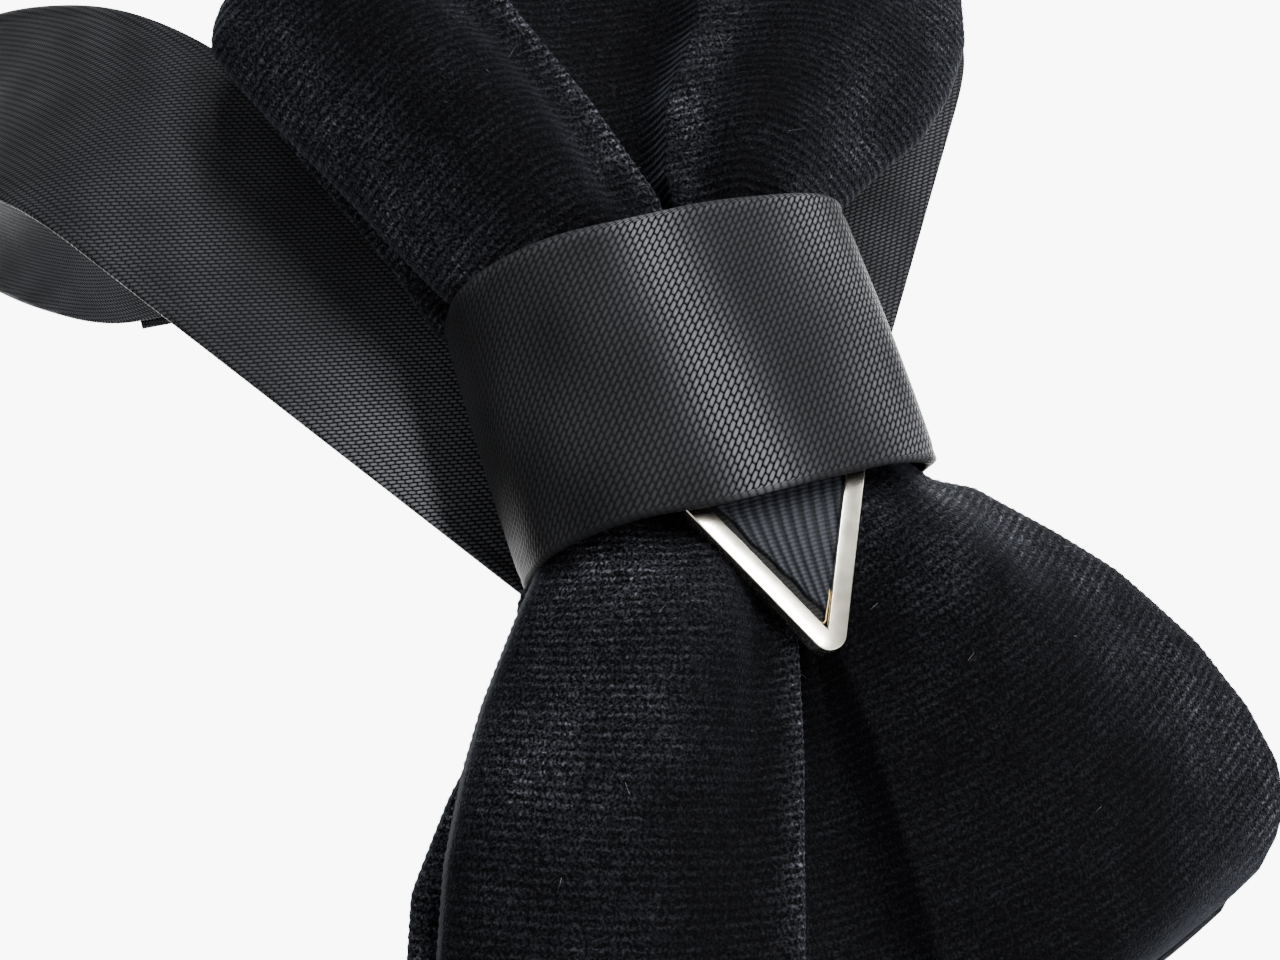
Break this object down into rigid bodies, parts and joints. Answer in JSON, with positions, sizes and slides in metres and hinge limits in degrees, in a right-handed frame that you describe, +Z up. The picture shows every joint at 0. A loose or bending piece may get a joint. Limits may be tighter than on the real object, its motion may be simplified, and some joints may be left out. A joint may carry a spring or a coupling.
{
  "type": "bow tie",
  "caption": "Pre-tied velvet bow tie that hangs down the shirt front, with a satin knot, a metal-tipped ribbon tail and a clasped, adjustable neck strap.",
  "frame": {"origin": "centre of the rear face of the back patch, which lies on the shirt front behind the knot", "axes": "+X to the right of someone facing the bow, +Y towards the wearer, +Z up along the hanging bow's long axis"},
  "size_m": [0.1216, 0.1361, 0.1528],
  "materials": {
    "velvet": "cotton velvet with a fine rib, near black with a cool sheen",
    "interfacing": "stiff woven interfacing",
    "satin": "charcoal-black satin with a visible diagonal float weave",
    "grosgrain": "blue-black ribbed ribbon",
    "tip_metal": "polished pale gold plating",
    "clasp_metal": "nickel-plated steel",
    "thread": "black sewing thread",
    "wadding": "charcoal polyester wadding"
  },
  "bodies": {
    "bow": {"front_bow_face": "velvet", "front_bow_interfacing": "interfacing", "front_bow_back_ply": "velvet", "back_bow_face": "velvet", "back_bow_interfacing": "interfacing", "back_bow_back_ply": "velvet", "waist_binding": "thread", "knot_padding": "wadding", "knot_wrap": "satin", "tail_ribbon_root": "grosgrain", "back_patch": "satin", "patch_stitches": "thread", "neck_strap_left": "satin", "neck_strap_right": "satin", "strap_bartack": "thread"},
    "tail_flap": {"tail_ribbon": "grosgrain", "tail_ribbon_backing": "grosgrain", "tail_tip": "tip_metal"},
    "hook": {"clasp_hook": "clasp_metal"},
    "eye": {"clasp_eye": "clasp_metal"},
    "slider": {"adjuster_slider": "clasp_metal"}
  },
  "joints": [
    {"name": "tail_lift", "type": "hinge", "parent": "bow", "child": "tail_flap", "pos_m": [0, -0.02425, -0.0105], "axis": [-1, 0, 0], "range_deg": [0, 20]},
    {"name": "hook_pivot", "type": "hinge", "parent": "bow", "child": "hook", "pos_m": [-0.0215, 0.10555, 0.08], "axis": [0, 0, 1], "range_deg": [0, 80]},
    {"name": "eye_pivot", "type": "hinge", "parent": "bow", "child": "eye", "pos_m": [0.0025, 0.10555, 0.08], "axis": [0, 0, 1], "range_deg": [0, 25]},
    {"name": "adjuster_slide", "type": "slide", "parent": "bow", "child": "slider", "axis": [1, 0, 0], "range_m": [-0.003, 0.013]}
  ]
}
